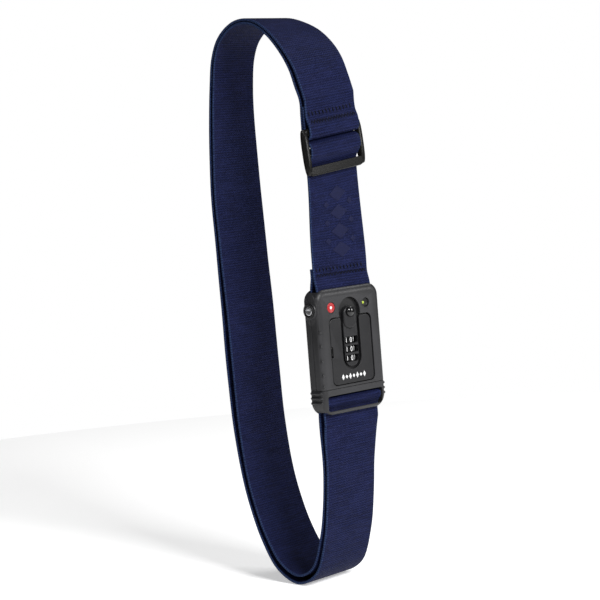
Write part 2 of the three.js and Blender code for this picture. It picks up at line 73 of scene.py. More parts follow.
# The loop's turn against the lock, in degrees, and the heights and depths between which it changes.
TURN = {"adjuster": 5.4, "low": 6.8, "back": 8.5, "back_top": 17}
TURN_ABOVE = (-163, -104)
TURN_BELOW = (-310, -268)
TURN_BACK = (-130, -30)
TURN_ACROSS = (-42, 25)
SKEW = 0.094
SKEW_ACROSS = (-44, -5)
# Inner layer's middle line: depth y, height z, and the distance out to the outer layer's middle.
LOOP = [
    (-48.7, -52, 4.5), (-45.2, -42.5, 4.6), (-40.6, -30.5, 4.2), (-32.7, -19.2, 3.4),
    (-19, -7.2, 2.7), (0, 0.95, 2.3), (18.4, 0.4, 2.3), (33, -8.2, 2.5), (40.5, -20.7, 2.7),
    (44.6, -40.5, 3), (47, -69, 3.3), (48.2, -111, 3.6), (46.9, -158, 4.2), (44.9, -203, 5.4),
    (43.7, -243, 6), (42, -280, 5.6), (38.3, -309.7, 5), (32.1, -333.1, 4.8), (22.7, -354.7, 5),
    (9.2, -372.4, 5.5), (-8, -379.4, 5.4), (-24.1, -372.8, 4.8), (-34.7, -351.2, 4),
    (-40.6, -326.5, 3.5), (-43.9, -299, 3.6), (-45.4, -280, 4.4),
]
SPAN_TOP = -14
SPAN_LOW = -345
SEWN_TOP = -52
BUMP_LOW = -104
BUMP_HIGH = -72
TAB_JOIN = -163.5
PLUG_JOIN = -262.5
TAB_Y = -51.0
ADJ_TOP = -71
ADJ_HEIGHT = 31
ADJ_THICK = 3
ADJ_RAIL = 3.4
ADJ_PLAY = 1.6
ADJ_BARS = (4.5, 4, 4.5)
BAR_Y = TAB_Y - (THICK / 2 + GAP + ADJ_THICK / 2)
OVER_Y = BAR_Y - (ADJ_THICK / 2 + GAP + THICK / 2)
INNER_Y = TAB_Y + PITCH
SEWN_Y = TAB_Y - PITCH

LOCK_Y = -50.0
LOCK_WIDTH = 58
LOCK_TOP = -181
LOCK_BOTTOM = -266
SEAM = -248.5
FACE = LOCK_Y - 7.3
REAR = LOCK_Y + 7.3
CAVITY_FRONT = FACE + 2
CAVITY_REAR = REAR - 2
CAVITY_SIDE = 27
TOP_PIN_Z = -186.5
LOW_PIN_Z = -257.8
TOP_LEG = 2 + GAP + THICK / 2
LOW_LEG = 2.2 + GAP + THICK / 2
PANEL = {"width": 38, "top": -201.3, "bottom": -246.3, "radius": 4}
PANEL_Y = FACE + 0.3
TRACK = {"width": 17, "bottom": -237, "island": 12.8, "island_top": -204.5}
RECESS = {"z": -197.9, "r": 9.9}
KNOB = {"width": 12.1, "top": -194.1, "bottom": -209.2, "dome": 3.4, "rise": 1.8}
DIAL = {"r": 5.6, "width": 4, "pitch": 6.2, "middle": -223.4, "bore": 3.2}
DIAL_Y = PANEL_Y + 0.35 + DIAL["r"]
KEY_Z = -194.5
BADGE = (-16.6, -193.6)
INDICATOR = (15.6, -193.4)
LENS = (14.3, -193.4)
SCREWS = [(x, z) for z in (-202.5, -241) for x in (-24.2, 24.2)]


def placed(name, data):
    """A new object in the scene."""
    piece = bpy.data.objects.new(name, data)
    bpy.context.scene.collection.objects.link(piece)
    return piece


# ---------------- camera
VIEW = {"turn": -41.95, "rise": 4.7, "roll": 4.5, "reach": 1.504, "lens": 130}
VIEW_CENTRE = (0.0029, -0.0052, -0.1910)


def make_camera():
    """At the left of the front and a little above, rolled so that its right side tips down."""
    turn, rise, roll = (radians(VIEW[name]) for name in ("turn", "rise", "roll"))
    back = Vector((sin(turn) * cos(rise), -cos(turn) * cos(rise), sin(rise)))
    level = Vector((cos(turn), sin(turn), 0))
    upright = back.cross(level)
    right = level * cos(roll) - upright * sin(roll)
    up = level * sin(roll) + upright * cos(roll)
    data = bpy.data.cameras.new("camera")
    data.lens = VIEW["lens"]
    camera = placed("camera", data)
    camera.matrix_world = Matrix((right, up, back)).transposed().to_4x4()
    camera.location = Vector(VIEW_CENTRE) + back * VIEW["reach"]
    bpy.context.scene.camera = camera


make_camera()


# ---------------- node helpers
class Nodes:
    """Short ways to add and join shader nodes in one material."""

    def __init__(self, name):
        self.material = bpy.data.materials.new(name)
        self.material.use_nodes = True
        self.tree = self.material.node_tree
        self.shader = self.tree.nodes["Principled BSDF"]

    def add(self, kind, inputs, **settings):
        """A new node, with inputs given as {name or number: value or socket}."""
        node = self.tree.nodes.new("ShaderNode" + kind)
        for key, value in settings.items():
            setattr(node, key, value)
        for key, value in inputs.items():
            self.put(value, node.inputs[key])
        return node.outputs

    def put(self, value, socket):
        if isinstance(value, bpy.types.NodeSocket):
            self.tree.links.new(value, socket)
        else:
            socket.default_value = value

    def math(self, operation, a, b=0.0):
        return self.add("Math", {0: a, 1: b}, operation=operation)[0]

    def times(self, a, b):
        return self.math("MULTIPLY", a, b)

    def wave(self, value):
        """A hump from 0 to 1 and back for every whole step of the value."""
        return self.math("ABSOLUTE", self.math("SINE", self.times(value, pi)))

    def mix(self, share, a, b):
        return self.add("Mix", {0: share, 6: a, 7: b}, data_type="RGBA")[2]

    def ramp(self, value, low, high, a=0.0, b=1.0):
        inputs = dict(enumerate((value, low, high, a, b)))
        return self.add("MapRange", inputs, interpolation_type="SMOOTHSTEP")[0]

    def noise(self, scale, detail=2.0, stretch=(1, 1, 1)):
        place = self.add("TexCoord", {})["Object"]
        place = self.add("Mapping", {"Vector": place, "Scale": stretch})[0]
        return self.add("TexNoise", {"Vector": place, "Scale": scale, "Detail": detail})["Fac"]

    def bump(self, height, strength, distance):
        inputs = {"Height": height, "Strength": strength, "Distance": distance}
        self.put(self.add("Bump", inputs)[0], self.shader.inputs["Normal"])

    def paint(self, value):
        self.put(value, self.shader.inputs["Base Color"])

    def roughness(self, value, low, high, a, b):
        """Roughness from a at low to b at high."""
        self.put(self.ramp(value, low, high, a, b), self.shader.inputs["Roughness"])

    def plain(self, **values):
        for key, value in values.items():
            self.shader.inputs[key.replace("_", " ")].default_value = value


def rgb(red, green, blue):
    """A colour from its 0-255 screen values."""
    def linear(value):
        share = value / 255
        return share / 12.92 if share <= 0.04045 else ((share + 0.055) / 1.055) ** 2.4
    return (linear(red), linear(green), linear(blue), 1)


# ---------------- materials
RIB = 1.7  # mm from one rib of the webbing to the next
YARN = 1.25  # mm across one warp yarn
YARN_SHIFT = 0.2  # how far every other yarn's ribs are set along, as a share of a rib
SELVEDGE_HIGHLIGHT = (0.0236, 0.0249)  # metres from the middle between which the painted highlight along the selvedges begins
STREAKS = (60.0, 620.0)  # noise scale across and along, for uneven weft threads


def webbing_material():
    """Navy polyester: ribs across, warp yarns along and slow shade changes, with painted shade in the
    hollows of the weave and a painted highlight along the selvedges.
    """
    n = Nodes("webbing_weave")
    uv = n.add("UVMap", {}, uv_map="weave")[0]
    across, along, _ = n.add("SeparateXYZ", {0: uv})
    yarn = n.times(across, 1 / (YARN * MM))
    whole_yarn = n.math("FLOOR", yarn)
    odd = n.math("ABSOLUTE", n.math("MODULO", whole_yarn, 2.0))
    rib = n.math("ADD", n.times(along, 1 / (RIB * MM)), n.times(odd, YARN_SHIFT))
    hump = n.wave(rib)
    grain = n.times(n.math("POWER", hump, 0.7), n.math("POWER", n.wave(yarn), 0.5))
    fibre = n.noise(2600, 2.0, (1, 1, 0.25))
    lay = {0: n.times(across, STREAKS[0]), 1: n.times(along, STREAKS[1])}
    lay = n.add("CombineXYZ", lay)[0]
    streak = n.add("TexNoise", {"Vector": lay, "Scale": 1.0})["Fac"]
    slow = n.noise(38, 3.0, (1, 1, 2.5))
    grit = n.noise(1150)
    # Painted shade: the hollows between ribs and between warp yarns are coloured much darker than their
    # crests, standing in for the shade that falls in them.
    shade = n.mix(n.ramp(grain, 0.15, 0.95), (0.0018, 0.0028, 0.0125, 1), (0.0088, 0.0126, 0.054, 1))
    for amount, share, color in (
        (n.ramp(slow, 0.35, 0.7), 0.35, (0.0125, 0.0158, 0.060, 1)),
        (n.ramp(streak, 0.42, 0.66), 0.6, (0.0040, 0.0048, 0.018, 1)),
        (n.ramp(grit, 0.52, 0.72), 0.45, (0.018, 0.024, 0.084, 1)),
        (n.ramp(grit, 0.46, 0.3), 0.5, (0.0030, 0.0038, 0.015, 1)),
    ):
        shade = n.mix(n.times(amount, share), shade, color)
    # Painted highlight: a paler, speckled blue along both selvedges, standing in for the light that the
    # webbing's edges catch.
    edge = n.ramp(n.math("ABSOLUTE", across), *SELVEDGE_HIGHLIGHT)
    highlight_speck = n.ramp(n.math("ADD", fibre, n.times(hump, 0.35)), 0.5, 0.95)
    selvedge_highlight = n.mix(highlight_speck, (0.0065, 0.011, 0.037, 1), (0.030, 0.052, 0.125, 1))
    n.paint(n.mix(n.times(edge, 0.8), shade, selvedge_highlight))
    n.roughness(grain, 0.0, 1.0, 0.78, 0.58)
    n.plain(Sheen_Weight=0.01, Sheen_Roughness=0.4, Specular_IOR_Level=0.05)
    n.plain(Sheen_Tint=(0.45, 0.52, 0.95, 1))
    n.bump(n.math("ADD", grain, n.times(fibre, 0.5)), 1.0, 0.00022)
    return n.material


def thread_material(name, light, dark):
    n = Nodes(name)
    twist = n.noise(1800)
    n.paint(n.mix(n.ramp(twist, 0.3, 0.7), dark, light))
    n.plain(Roughness=0.55, Sheen_Weight=0.02, Specular_IOR_Level=0.08)
    n.bump(twist, 0.5, 0.00008)
    return n.material


def tinted(color, factor):
    """A colour made lighter or darker by a factor."""
    return [value * factor for value in color[:3]] + [1]


def plastic_material(name, low, high, roughness, spark=1500, strength=0.35, wear=0.0, shine=0.3):
    """Moulded plastic: a spark-eroded grain, a slow change of shade, and slightly polished edges."""
    n = Nodes(name)
    grain = n.noise(spark, 3.0)
    shade = n.mix(n.ramp(n.noise(45), 0.3, 0.7), low, high)
    shade = n.mix(n.times(n.ramp(grain, 0.55, 0.8), 0.25), shade, tinted(high, 1.7))
    if wear:
        point = n.add("NewGeometry", {})["Pointiness"]
        shade = n.mix(n.times(n.ramp(point, 0.52, 0.6), wear), shade, tinted(high, 2.6))
    n.paint(shade)
    n.roughness(grain, 0.3, 0.7, roughness - 0.05, roughness + 0.07)
    n.plain(Specular_IOR_Level=shine)
    n.bump(grain, strength, 0.00006)
    return n.material


def metal_material(name, color, roughness, brushed=(1, 1, 1)):
    n = Nodes(name)
    hair = n.noise(900, 3.0, brushed)
    n.paint(n.mix(n.ramp(n.noise(120), 0.35, 0.7), color, tinted(color, 0.72)))
    n.roughness(hair, 0.3, 0.7, roughness - 0.07, roughness + 0.1)
    n.plain(Metallic=1.0)
    n.bump(hair, 0.2, 0.00002)
    return n.material


def ink_material(name, color, roughness):
    n = Nodes(name)
    fleck = n.noise(1400, 3.0)
    n.paint(n.mix(n.ramp(fleck, 0.35, 0.65), color, tinted(color, 0.8)))
    n.plain(Roughness=roughness)
    n.bump(fleck, 0.15, 0.00002)
    return n.material


WEBBING = webbing_material()
RELIEF = thread_material("relief_weave", (0.0075, 0.010, 0.043, 1), (0.0035, 0.0045, 0.020, 1))
# Partly painted shade: the sewing thread is coloured far darker than the navy webbing, standing in for the
# shadows in and round the stitches.
THREAD = thread_material("sewing_thread", (0.0025, 0.003, 0.010, 1), (0.0010, 0.0012, 0.004, 1))
HOUSING = plastic_material(
    "housing_grain", (0.0105, 0.0105, 0.0118, 1), (0.0165, 0.0165, 0.0180, 1), 0.42,
    strength=0.4, wear=0.25, shine=0.32,
)
PANEL_SKIN = plastic_material(
    "panel_grain", (0.0075, 0.0075, 0.0086, 1), (0.0115, 0.0115, 0.0126, 1), 0.38,
    spark=1900, strength=0.3, wear=0.2, shine=0.28,
)
BUCKLE = plastic_material(
    "buckle_acetal", (0.0045, 0.0045, 0.0044, 1), (0.0056, 0.0054, 0.0050, 1), 0.27,
    spark=2600, strength=0.05, wear=0.2, shine=0.13,
)
GLOSS = plastic_material(
    "gloss_black", (0.0030, 0.0030, 0.0034, 1), (0.0050, 0.0050, 0.0055, 1), 0.14,
    spark=900, strength=0.05, shine=0.5,
)
BED = plastic_material(
    "bed_black", (0.0035, 0.0035, 0.0040, 1), (0.0065, 0.0065, 0.0070, 1), 0.5, strength=0.3)
STEEL = metal_material("steel_satin", (0.62, 0.63, 0.65, 1), 0.32, (1, 1, 8))
CHROME = metal_material("key_plug_steel", (0.75, 0.76, 0.78, 1), 0.25, (1, 6, 1))
BRASS = metal_material("brass", (0.60, 0.42, 0.17, 1), 0.38)
RED = ink_material("badge_red", rgb(158, 14, 20), 0.42)
WHITE = ink_material("print_white", rgb(226, 226, 226), 0.5)
GREEN = ink_material("signal_green", rgb(176, 196, 60), 0.3)


# ---------------- mesh helpers
def make(name, points, faces, material, smooth=True):
    """A mesh object from points in millimetres."""
    mesh = bpy.data.meshes.new(name)
    mesh.from_pydata((np.asarray(points, float) * MM).tolist(), [], faces)
    mesh.update()
    mesh.polygons.foreach_set("use_smooth", [smooth] * len(mesh.polygons))
    mesh.materials.append(material)
    return placed(name, mesh)


def flip_outward(piece):
    work = bmesh.new()
    work.from_mesh(piece.data)
    bmesh.ops.recalc_face_normals(work, faces=work.faces)
    work.to_mesh(piece.data)
    work.free()
    return piece


def loft(name, rings, material):
    """A closed solid through rings of points, all with the same count, capped at both ends."""
    count = len(rings[0])
    faces = []
    for i in range(len(rings) - 1):
        for j in range(count):
            k = (j + 1) % count
            faces.append((i * count + j, i * count + k, (i + 1) * count + k, (i + 1) * count + j))
    faces.append(tuple(range(count)))
    faces.append(tuple((len(rings) - 1) * count + j for j in range(count)))
    return flip_outward(make(name, np.concatenate(rings), faces, material))


def rounded(width, top, bottom, radius, low=None, steps=10, x=0.0):
    """The outline of a rounded rectangle in x and z, walked from its lower right corner."""
    low = radius if low is None else low
    half = width / 2
    corners = [
        (half - low, bottom + low, low, -90), (half - radius, top - radius, radius, 0),
        (radius - half, top - radius, radius, 90), (low - half, bottom + low, low, 180),
    ]
    points = []
    for cx, cz, r, first in corners:
        for i in range(steps + 1):
            angle = radians(first + 90 * i / steps)
            points.append((x + cx + r * cos(angle), cz + r * sin(angle)))
    return points


def closing(width, top, bottom, radius, low=None, steps=10):
    """A rounded rectangle that draws in evenly, in the form that plate() takes."""
    low = radius if low is None else low
    return lambda inset: rounded(
        width - 2 * inset, top - inset, bottom + inset, radius - inset, low - inset, steps)


def plate(name, ring, y0, y1, material, front=(0, 0), rear=(0, 0), rounds=6):
    """A plate from y0 to y1. ring(inset) gives its outline; front and rear round its two edges."""
    rings = []
    for (wide, deep), y, way in ((front, y0, 1), (rear, y1, -1)):
        edge = []
        for i in range(rounds + 1 if wide else 1):
            angle = pi / 2 * i / rounds if wide else pi / 2
            level = y + way * deep * (1 - cos(angle))
            edge.append([(px, level, pz) for px, pz in ring(wide * (1 - sin(angle)))])
        rings += edge if way > 0 else edge[::-1]
    return loft(name, [np.array(r) for r in rings], material)


def box(x0, x1, y0, y1, z0, z1):
    points = [(x, y, z) for x in (x0, x1) for y in (y0, y1) for z in (z0, z1)]
    faces = [(0, 1, 3, 2), (4, 6, 7, 5), (0, 4, 5, 1), (2, 3, 7, 6), (0, 2, 6, 4), (1, 5, 7, 3)]
    return flip_outward(make("tool", points, faces, HOUSING, False))


def turned(name, profile, axis, centre, material, sides=64):
    """A solid of revolution. profile is (distance along the axis, radius) from end to end."""
    rings = []
    a, b = [i for i in range(3) if i != axis]
    for along, r in profile:
        ring = np.zeros((sides, 3))
        angle = np.arange(sides) * 2 * pi / sides
        ring[:, axis] = along
        ring[:, a] = centre[0] + r * np.cos(angle)
        ring[:, b] = centre[1] + r * np.sin(angle)
        rings.append(ring)
    return loft(name, rings, material)


def measured(start, pairs):
    """A profile for turned() whose distances are measured from start."""
    return [(start + along, r) for along, r in pairs]


def rod(axis, r, low, high, centre, sides=48):
    return turned("tool", [(low, r), (high, r)], axis, centre, HOUSING, sides)


def evaluated_mesh(piece):
    bpy.context.view_layer.update()
    graph = bpy.context.evaluated_depsgraph_get()
    return bpy.data.meshes.new_from_object(piece.evaluated_get(graph))


def applied(piece):
    """The piece with its modifiers made part of its mesh."""
    mesh = evaluated_mesh(piece)
    piece.modifiers.clear()
    piece.data = mesh
    return piece


def boolean(piece, tools, operation="DIFFERENCE"):
    for tool in tools:
        step = piece.modifiers.new("cut", "BOOLEAN")
        step.object = tool
        step.operation = operation
        step.solver = "EXACT"
    applied(piece)
    for tool in tools:
        bpy.data.objects.remove(tool)
    return piece


def soften(piece, width=0.25, segments=3, angle=32):
    """Rounds what is still a sharp edge, as moulding does, and shades flat faces flat."""
    work = bmesh.new()
    work.from_mesh(piece.data)
    bmesh.ops.remove_doubles(work, verts=work.verts, dist=2e-6)
    bmesh.ops.dissolve_degenerate(work, edges=work.edges, dist=2e-6)
    work.to_mesh(piece.data)
    work.free()
    bevel = piece.modifiers.new("edges", "BEVEL")
    bevel.width = width * MM
    bevel.segments = segments
    bevel.limit_method = "ANGLE"
    bevel.angle_limit = radians(angle)
    bevel.miter_outer = "MITER_ARC"
    applied(piece)
    piece.data.polygons.foreach_set("use_smooth", [True] * len(piece.data.polygons))
    weigh = piece.modifiers.new("shading", "WEIGHTED_NORMAL")
    weigh.keep_sharp = True
    return piece


def joined(name, pieces):
    """Several objects of one material as one."""
    work = bmesh.new()
    for piece in pieces:
        work.from_mesh(piece.data)
    mesh = bpy.data.meshes.new(name)
    work.to_mesh(mesh)
    work.free()
    mesh.materials.append(pieces[0].data.materials[0])
    for piece in pieces:
        bpy.data.objects.remove(piece)
    return placed(name, mesh)


def finish(piece, body, slot, *nodes):
    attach(piece, body)
    if nodes:
        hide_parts(*nodes)
    return piece


# ---------------- webbing paths
CURVE_STEPS = 30  # points on a spline between two of its own
ARC_POINTS = 25


def smoothstep(value, low, high):
    share = np.clip((value - low) / (high - low), 0, 1)
    return share * share * (3 - 2 * share)


def lean(y, z):
    """How much y grows for each millimetre of x."""
    front = TURN["adjuster"] * smoothstep(z, *TURN_ABOVE)
    front = front + TURN["low"] * (1 - smoothstep(z, *TURN_BELOW))
    back = TURN["back"] + (TURN["back_top"] - TURN["back"]) * smoothstep(z, *TURN_BACK)
    share = smoothstep(y, *TURN_ACROSS)
    return np.tan(np.radians(front + (back - front) * share))


def skew(y, z):
    """How much z grows for each millimetre of x."""
    return SKEW * smoothstep(z, *TURN_ABOVE) * (1 - smoothstep(y, *SKEW_ACROSS))


def spline(points):
    """A centripetal Catmull-Rom curve through [y, z] points, as a fine polyline."""
    p = np.array(points, float)
    p = np.vstack([2 * p[0] - p[1], p, 2 * p[-1] - p[-2]])
    share = np.linspace(0, 1, CURVE_STEPS, endpoint=False)[:, None]
    pieces = []
    for a, b, c, d in zip(p, p[1:], p[2:], p[3:]):
        before, here, after = (max(np.linalg.norm(q), 1e-4) ** 0.5 for q in (b - a, c - b, d - c))
        leave = ((b - a) / before - (c - a) / (before + here) + (c - b) / here) * here
        enter = ((c - b) / here - (d - b) / (here + after) + (d - c) / after) * here
        square = -3 * b + 3 * c - 2 * leave - enter
        cube = 2 * b - 2 * c + leave + enter
        pieces.append(b + leave * share + square * share ** 2 + cube * share ** 3)
    pieces.append(p[-2:-1])
    return np.vstack(pieces)


def arc(y, z, r, first, last):
    angle = np.radians(np.linspace(first, last, ARC_POINTS))
    return np.stack([y + r * np.cos(angle), z + r * np.sin(angle)], 1)


def moved_out(points):
    """The outer layer's middle line, from the inner layer's points and their gaps."""
    moved = []
    for i, (y, z, gap) in enumerate(points):
        before = points[max(i - 1, 0)]
        after = points[min(i + 1, len(points) - 1)]
        along = Vector((after[0] - before[0], after[1] - before[1])).normalized()
        moved.append((y - along.y * gap, z + along.x * gap))
    return moved


def lengths(path):
    return np.concatenate([[0], np.cumsum(np.linalg.norm(np.diff(path, axis=0), axis=1))])


def resampled(path, step):
    """The same polyline with points a whole number of equal steps apart."""
    path = np.array([p for i, p in enumerate(path) if i == 0 or np.linalg.norm(p - path[i - 1]) > 1e-6])
    at = lengths(path)
    even = np.linspace(0, at[-1], ceil(at[-1] / step) + 1)
    return np.stack([np.interp(even, at, path[:, 0]), np.interp(even, at, path[:, 1])], 1)


# ---------------- webbing meshes
ROWS_PER_RIB = 4
RIB_DEPTH = 0.13
EDGE_ROUND = 0.8
DRIFT = ((0.10, 23.0, 0), (0.06, 8.3, 1.7))  # sideways wander: size, length over 2 pi, and phase
LOWEST = -370  # below this height the webbing is in the loop's bottom bend


def section():
    """Half-outline of the webbing's cross-section as (across, out) pairs, and which face each is on."""
    half, t, lip = WIDTH / 2, THICK / 2, EDGE_ROUND
    flat = np.linspace(lip - half, half - lip, 11)
    round_edge = np.radians([60, 25, -25, -60])
    outer = [(u, t, 1) for u in flat]
    right = [(half - lip + lip * cos(a), t * sin(a), 0) for a in round_edge]
    inner = [(u, -t, -1) for u in flat[::-1]]
    left = [(lip - half - lip * cos(a), t * sin(a), 0) for a in round_edge[::-1]]
    return np.array(outer + right + inner + left)


SECTION = section()


def ribbon_rows(path):
    """Rows of cross-section points along a path, with ribs, and the distance along of each row."""
    path = resampled(path, RIB / ROWS_PER_RIB)
    at = lengths(path)
    along = np.gradient(path, axis=0)
    along /= np.linalg.norm(along, axis=1)[:, None]
    out = np.stack([-along[:, 1], along[:, 0]], 1)
    across, lift, side = SECTION.T
    wave = 0.5 - 0.5 * np.cos(2 * pi * at / RIB)
    drift = sum(size * np.sin(at / length + phase) for size, length, phase in DRIFT)
    depth = lift - RIB_DEPTH * side * wave[:, None]
    y, z = path[:, :1], path[:, 1:]
    rows = np.stack([
        across + drift[:, None],
        y + out[:, :1] * depth + across * lean(y, z),
        z + out[:, 1:] * depth + across * skew(y, z),
    ], 2)
    return rows, at, path


def ribbon_piece(name, rows, at, first, last):
    """One closed piece of webbing from the first row to the last, with the weave laid out in metres."""
    piece = loft(name, list(rows[first:last + 1]), WEBBING)
    weave = piece.data.uv_layers.new(name="weave")
    corners = [divmod(corner.vertex_index, len(SECTION)) for corner in piece.data.loops]
    spots = [(SECTION[column, 0] * MM, at[first + row] * MM) for row, column in corners]
    weave.data.foreach_set("uv", np.ravel(spots))
    for polygon in piece.data.polygons:
        polygon.use_smooth = len(polygon.vertices) == 4
    return piece


def first_where(path, test, start=0):
    return next(i for i in range(start, len(path)) if test(path[i]))


INNER_LINE = spline(
    [(INNER_Y, BUMP_HIGH), (INNER_Y, -62)] + [p[:2] for p in LOOP] + [(LOCK_Y + LOW_LEG, PLUG_JOIN)])
OUTER_LINE = spline([(SEWN_Y, SEWN_TOP)] + moved_out(LOOP)[1:] + [(LOCK_Y - LOW_LEG, PLUG_JOIN)])
TAB_BACK = spline([(INNER_Y, -167), (INNER_Y, -173), (-47.7, -178.5), (LOCK_Y + TOP_LEG, -184.5)])
TAB_FRONT = spline([(LOCK_Y - TOP_LEG, -184.5), (-52.4, -178.5), (TAB_Y, -173), (TAB_Y, TAB_JOIN)])
HUMP = spline([
    (TAB_Y, BUMP_LOW), (TAB_Y, -100), (-51.5, -96), (-54.6, -91.8), (OVER_Y, -88.6), (OVER_Y, -84.9),
    (-55, -81.8), (-51, -79.7), (-49.1, -77.2), (INNER_Y, -74), (INNER_Y, BUMP_HIGH),
])
# In the plug's window the webbing stands out to the lip, then falls back behind it.
LEAVE = next(tuple(p) for p in OUTER_LINE[::-1] if p[1] < LOCK_BOTTOM - 6)
WINDOW_BULGE = spline([
    (LOCK_Y - 1.6, LOW_PIN_Z + 3.25), (-53.8, -254.8), (-55.6, -256.4), (-55.4, -258.2), (-53.6, -260.3),
    (-52, -262.4), (-51.3, -265.5), LEAVE,
])
FOLD_LOW = ADJ_TOP - ADJ_BARS[0] + 0.6
SEWN_FRONT = spline([
    (OVER_Y, FOLD_LOW + 0.5), (-55.9, -69.3), (-53.9, -64.5), (SEWN_Y, -60), (SEWN_Y, SEWN_TOP),
])


def top_and_low(path, start=0):
    """Where a path passes the top of the loop, and where it comes up past SPAN_LOW at the front."""
    apex = first_where(path, lambda p: p[0] > 0, start)
    bottom = first_where(path, lambda p: p[0] < 0 and p[1] < LOWEST, apex)
    return apex, first_where(path, lambda p: p[0] < 0 and p[1] > SPAN_LOW, bottom)


def other_face():
    """Which section point lies behind each one, for webbing that is walked the other way."""
    across, lift, _ = SECTION.T
    return [int(np.argmin((across - u) ** 2 + (lift + v) ** 2)) for u, v in zip(across, lift)]


def make_webbing():
    fold = arc(LOCK_Y, TOP_PIN_Z, TOP_LEG, 360, 180)
    tie = arc(BAR_Y, FOLD_LOW, ADJ_THICK / 2 + GAP + THICK / 2, 360, 180)
    wrap = np.vstack([arc(LOCK_Y, LOW_PIN_Z, LOW_LEG, 0, 100), WINDOW_BULGE])
    inner = np.vstack([TAB_BACK, fold, TAB_FRONT, [(TAB_Y, BUMP_LOW)], HUMP, INNER_LINE])
    outer = np.vstack([[(TAB_Y, -56)], tie, SEWN_FRONT, OUTER_LINE])
    rows, at, path = ribbon_rows(np.vstack([inner, wrap]))
    hump_end = first_where(path, lambda p: p[1] > BUMP_HIGH)
    apex, low = top_and_low(path, hump_end)
    out_rows, out_at, out_path = ribbon_rows(outer)
    out_apex, out_low = top_and_low(out_path)

    tab = ribbon_piece("tab", rows, at, 0, hump_end)
    top = ribbon_piece("inner_top", rows, at, hump_end, apex)
    back = ribbon_piece("inner_back", rows, at, apex, low)
    out_top = ribbon_piece("outer_top", out_rows, out_at, 0, out_apex)
    out_back = ribbon_piece("outer_back", out_rows, out_at, out_apex, out_low)
    loop_rows, loop_at = rows[low:], at[low:]
    joins = first_where(out_path, lambda p: p[1] >= LEAVE[1], out_low)
    out_rows, out_at = out_rows[:joins], out_at[:joins]
    down_rows = np.flip(out_rows[out_low:], 0)[:, other_face()]
    whole_ribs = ceil((loop_at[-1] + out_at[-1]) / RIB) * RIB
    down_at = whole_ribs - np.flip(out_at[out_low:])
    loop_length = loop_at[-1] - loop_at[0] + down_at[-1] - down_at[0]
    loop_rows, loop_at = np.concatenate([loop_rows, down_rows]), np.concatenate([loop_at, down_at])
    loop = ribbon_piece("plug_loop", loop_rows, loop_at, 0, len(loop_at) - 1)

    for piece, first, second, start, end in (
        (tab, "root", "adjuster", TAB_JOIN, BUMP_LOW), (top, "adjuster", "root", BUMP_HIGH, SPAN_TOP),
        (out_top, "adjuster", "root", SEWN_TOP, SPAN_TOP), (loop, "root", "plug", SPAN_LOW, PLUG_JOIN),
    ):
        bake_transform(piece)
    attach(back, "root")
    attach(out_back, "root")
    for piece, length, rest, *nodes in (
        (tab, at[hump_end], "top_pin", "tab_fold", "tab_span", "adjuster_hump"),
        (top, at[apex] - at[hump_end], "adjuster_buckle", "inner_span_top"),
        (out_top, out_at[out_apex], "adjuster_buckle", "sewn_end", "outer_span_top"),
        (back, at[low] - at[apex], "inner_top", "inner_run"),
        (out_back, out_at[out_low] - out_at[out_apex], "outer_top", "outer_run"),
        (loop, loop_length, "plug_pin", "inner_span_low", "outer_span_low", "plug_wrap"),
    ):
        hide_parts(*nodes)


make_webbing()


# ---------------- housing
SPLIT = GAP / 2
FAR = 60
BORE = 3.1 + GAP
KEY_END = -30
MOUTH = 25.7  # half-width of the openings that the webbing passes through
PIPS = (-209.3, -218.8, -229, -238.5, -246)
TOP_CORNER = 8
LOW_CORNER = 9
SHOULDER = (4.5, 3.2)
REAR_ROUND = (3, 3)
POST = {"r": 2.3, "pilot": 0.85, "head": 2, "sink": 2.4, "hole": 1.3}


def ball(centre, radii):
    """A fine ellipsoid, used to add or take away a soft swelling."""
    work = bmesh.new()
    bmesh.ops.create_icosphere(work, subdivisions=4, radius=1)
    mesh = bpy.data.meshes.new("tool")
    work.to_mesh(mesh)
    work.free()
    size = Matrix.Diagonal(Vector(radii) * MM).to_4x4()
    mesh.transform(Matrix.Translation(Vector(centre) * MM) @ size)
    mesh.materials.append(HOUSING)
    return placed("tool", mesh)


def slab(y0=-90, y1=0, z0=-300, z1=-100):
    """All the space round the lock between these depths and heights."""
    return box(-FAR, FAR, y0, y1, z0, z1)


def sheet_tool(outline, y0, y1):
    return plate("tool", lambda inset: outline, y0, y1, HOUSING)


def housing_body(name):
    """The whole outside of lock and plug, with its broad front shoulder."""
    ring = closing(LOCK_WIDTH, LOCK_TOP, LOCK_BOTTOM, TOP_CORNER, LOW_CORNER, 14)
    return plate(name, ring, FACE, REAR, HOUSING, SHOULDER, REAR_ROUND, 12)


def lock_hollows():
    cavity = sheet_tool(rounded(2 * CAVITY_SIDE, LOCK_TOP - 2, SEAM - 6, 5), CAVITY_FRONT, CAVITY_REAR)
    throat = box(-MOUTH, MOUTH, LOCK_Y - 4.7, LOCK_Y + 4.7, LOCK_TOP - 4, LOCK_TOP + 1)
    pin_hole = rod(0, 2 + GAP, -28.3, 28.3, (LOCK_Y, TOP_PIN_Z))
    bore = rod(0, BORE, -40, 3 - CAVITY_SIDE, (LOCK_Y, KEY_Z), 64)
    return [cavity, throat, pin_hole, bore]


def track_tools():
    """Tools for the key-hole shaped track: a long slot below a round recess."""
    slot = rounded(TRACK["width"], RECESS["z"], TRACK["bottom"], 1, TRACK["width"] / 2 - 0.05, 20)
    low = sheet_tool(slot, FACE - 2, CAVITY_FRONT + 0.1)
    hollow = rod(1, RECESS["r"], FACE - 2, CAVITY_FRONT + 0.1, (0, RECESS["z"]), 96)
    return [low, hollow]


